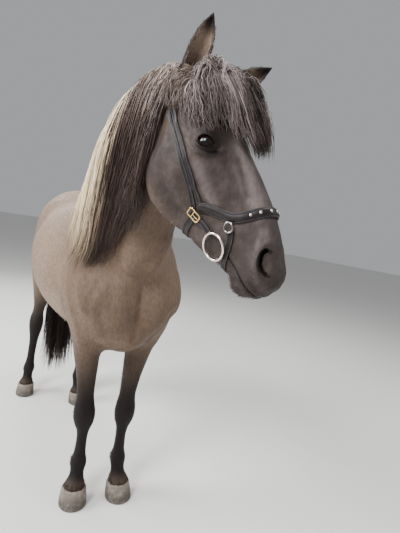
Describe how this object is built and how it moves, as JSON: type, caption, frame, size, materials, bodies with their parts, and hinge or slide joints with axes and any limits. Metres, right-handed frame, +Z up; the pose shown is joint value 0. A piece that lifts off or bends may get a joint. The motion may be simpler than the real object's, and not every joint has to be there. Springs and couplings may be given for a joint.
{
  "type": "icelandic horse",
  "caption": "Standing Icelandic horse, life size, head raised and turned, long mane over its right side, wearing a leather bridle",
  "frame": {"origin": "middle of the footprint's box, on the ground under the hooves", "axes": "+X is the horse's left, the way it faces is -Y, +Z is up"},
  "size_m": [0.5884, 2.176, 1.7125],
  "materials": {
    "coat": "short smooth hair, mouse dun",
    "dark_coat": "short smooth hair, near black",
    "mane_hair": "long coarse hair, cream outside and dark brown inside",
    "tail_hair": "long coarse hair, brown-black",
    "hoof": "dusty grey horn",
    "eye": "wet and dark",
    "leather": "brown-black bridle leather, satin",
    "buckle": "worn polish",
    "ring": "polished, warm tone"
  },
  "bodies": {
    "root": {"bit_ring_left": "ring", "bit_ring_right": "ring", "bit_strap_left": "leather", "bit_strap_right": "leather", "browband": "leather", "buckle_left": "buckle", "buckle_right": "buckle", "cheek_strap_left": "leather", "cheek_strap_right": "leather", "chin_strap": "leather", "crownpiece": "leather", "ear_left": "coat", "ear_right": "coat", "eye_left": "eye", "eye_right": "eye", "fore_left_hoof": "hoof", "fore_left_lower": "dark_coat", "fore_left_upper": "coat", "fore_right_hoof": "hoof", "fore_right_lower": "dark_coat", "fore_right_upper": "coat", "forelock": "mane_hair", "head": "coat", "hind_left_hoof": "hoof", "hind_left_lower": "dark_coat", "hind_left_upper": "coat", "hind_right_hoof": "hoof", "hind_right_lower": "dark_coat", "hind_right_upper": "coat", "jaw_strap": "leather", "mane": "mane_hair", "neck": "coat", "noseband": "leather", "noseband_cheek_left": "leather", "noseband_cheek_right": "leather", "small_ring_left": "ring", "small_ring_right": "ring", "tail": "tail_hair", "torso": "coat"}
  },
  "joints": []
}
